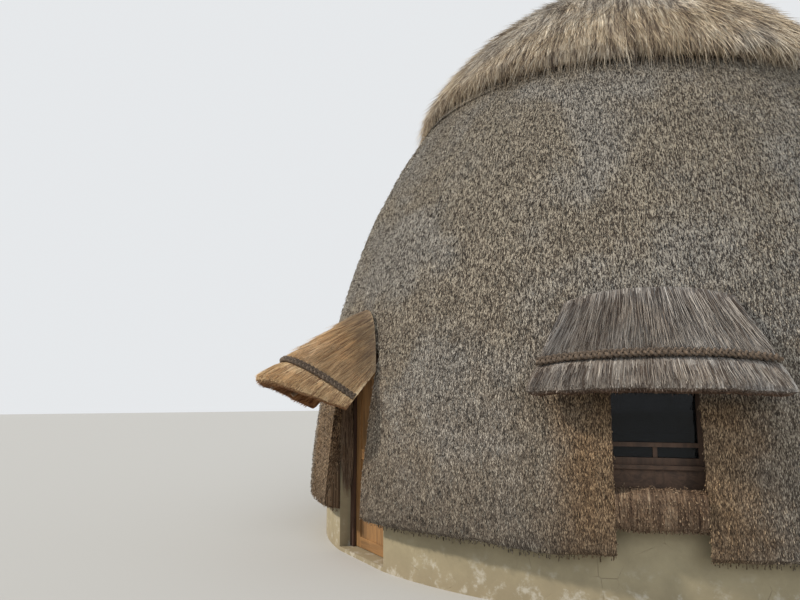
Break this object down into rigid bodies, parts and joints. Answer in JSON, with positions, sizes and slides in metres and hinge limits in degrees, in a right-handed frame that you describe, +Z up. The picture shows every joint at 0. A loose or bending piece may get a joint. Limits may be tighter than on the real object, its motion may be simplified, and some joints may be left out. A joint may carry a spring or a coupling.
{
  "type": "thatched beehive rondavel hut",
  "caption": "Beehive-shaped thatched hut with a low plastered ring wall, a dome of bent poles and hoops, a loose crown cap, a hinged door and straw hoods over the door and the windows.",
  "frame": {"origin": "on the dome's axis at ground level, in the middle of the floor's underside", "axes": "+Z up along the dome's axis, -Y out of the door, +X to the right seen from in front of the door"},
  "size_m": [8.075, 8.9194, 6.7761],
  "materials": {
    "earth_floor": "smoothed screed",
    "plaster": "rubbed earth plaster",
    "poles": "barked saplings",
    "dome_thatch": "weathered reed",
    "cap_straw": "loose weathered straw",
    "porch_straw": "combed straw",
    "window_hood_straw": "combed grey straw",
    "rope": "plaited grass",
    "iron": "black",
    "door_timber": "oiled",
    "dark_timber": "dark stained",
    "glass": "clear"
  },
  "bodies": {
    "hut": {"floor_slab": "earth_floor", "door_threshold": "plaster", "ring_wall_1": "plaster", "ring_wall_2": "plaster", "ring_wall_3": "plaster", "ring_wall_4": "plaster", "ring_wall_5": "plaster", "ring_wall_6": "plaster", "bent_poles": "poles", "hoops": "poles", "crown_ring": "poles", "thatch_front_right": "dome_thatch", "thatch_front_left": "dome_thatch", "thatch_back_1": "dome_thatch", "thatch_back_2": "dome_thatch", "thatch_back_3": "dome_thatch", "thatch_back_4": "dome_thatch", "thatch_ring_1": "dome_thatch", "thatch_ring_2": "dome_thatch", "thatch_ring_3": "dome_thatch", "thatch_crown": "dome_thatch", "crown_cap": "cap_straw", "door_frame": "dark_timber", "hinge_pins": "iron", "porch_hood": "porch_straw", "porch_binding": "rope", "porch_rafters": "poles", "window_frame_right": "dark_timber", "window_glass_right": "glass", "window_sill_right": "dark_timber", "thatch_roll_right": "dome_thatch", "window_hood_right": "window_hood_straw", "window_binding_right": "rope", "window_rafters_right": "poles", "window_frame_left": "dark_timber", "window_glass_left": "glass", "window_sill_left": "dark_timber", "thatch_roll_left": "dome_thatch", "window_hood_left": "window_hood_straw", "window_binding_left": "rope", "window_rafters_left": "poles"},
    "door": {"door_leaf": "door_timber", "hinge_wings": "iron", "door_pull": "iron"}
  },
  "joints": [
    {"name": "door_hinge", "type": "hinge", "parent": "hut", "child": "door", "pos_m": [-0.4257, -3.589, 1], "axis": [0, 0, 1], "range_deg": [0, 95]}
  ]
}
